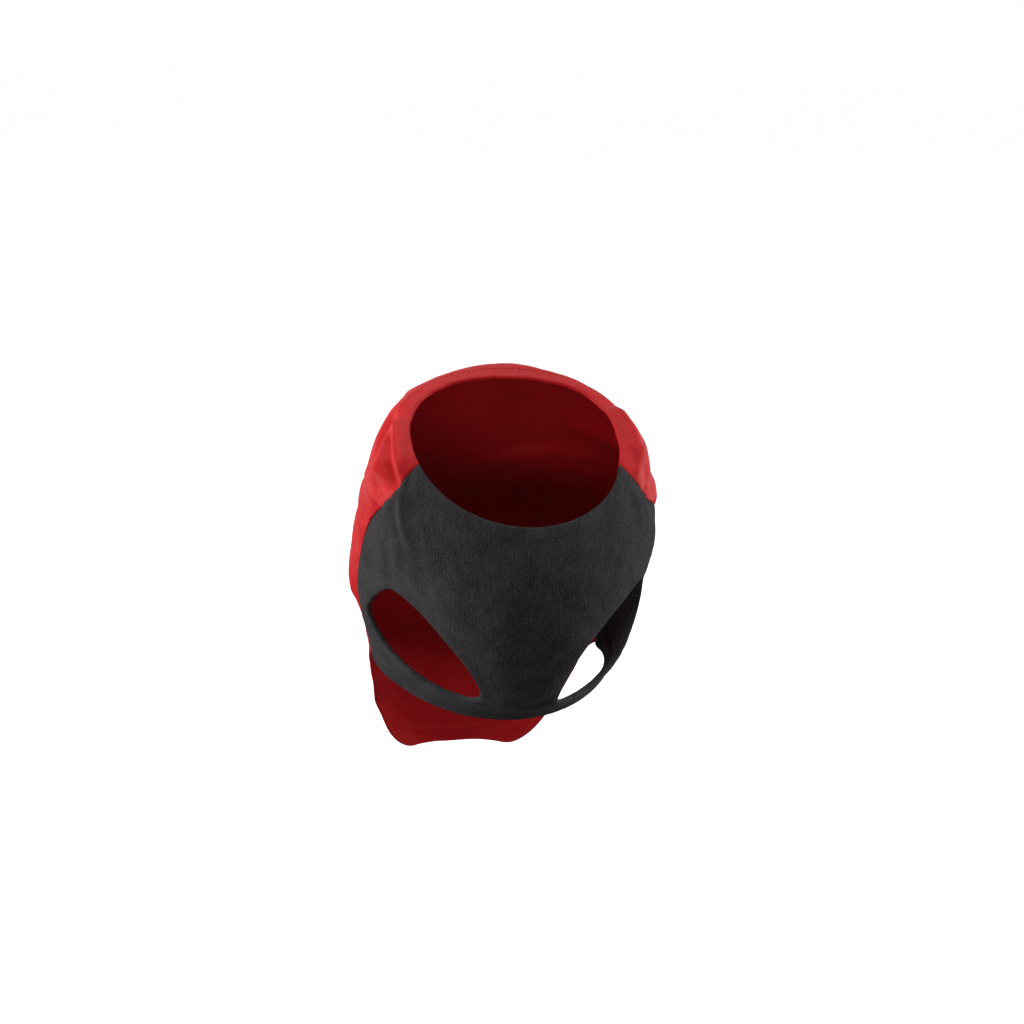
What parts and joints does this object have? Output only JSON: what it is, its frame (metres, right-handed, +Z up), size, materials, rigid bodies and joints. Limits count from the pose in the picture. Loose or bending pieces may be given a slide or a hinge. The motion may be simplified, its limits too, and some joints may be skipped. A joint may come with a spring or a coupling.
{
  "type": "dog jacket",
  "caption": "Sleeveless jacket for a small dog, worn and hollow: red woven shell over the back, black rib jersey chest and belly panel with foreleg armholes, open neck and hem.",
  "frame": {"origin": "inner face of the back panel at the withers, where the wearer carries the jacket", "axes": "+Z up, +X across the body to the viewer's right when facing the chest, the chest faces -Y and the back runs towards +Y and down"},
  "size_m": [0.134, 0.2312, 0.2048],
  "materials": {
    "red_shell": "soft sheen plain-woven polyester",
    "black_rib": "matt fine vertical rib jersey"
  },
  "bodies": {
    "root": {"back_panel": "red_shell", "chest_panel": "black_rib"}
  },
  "joints": []
}
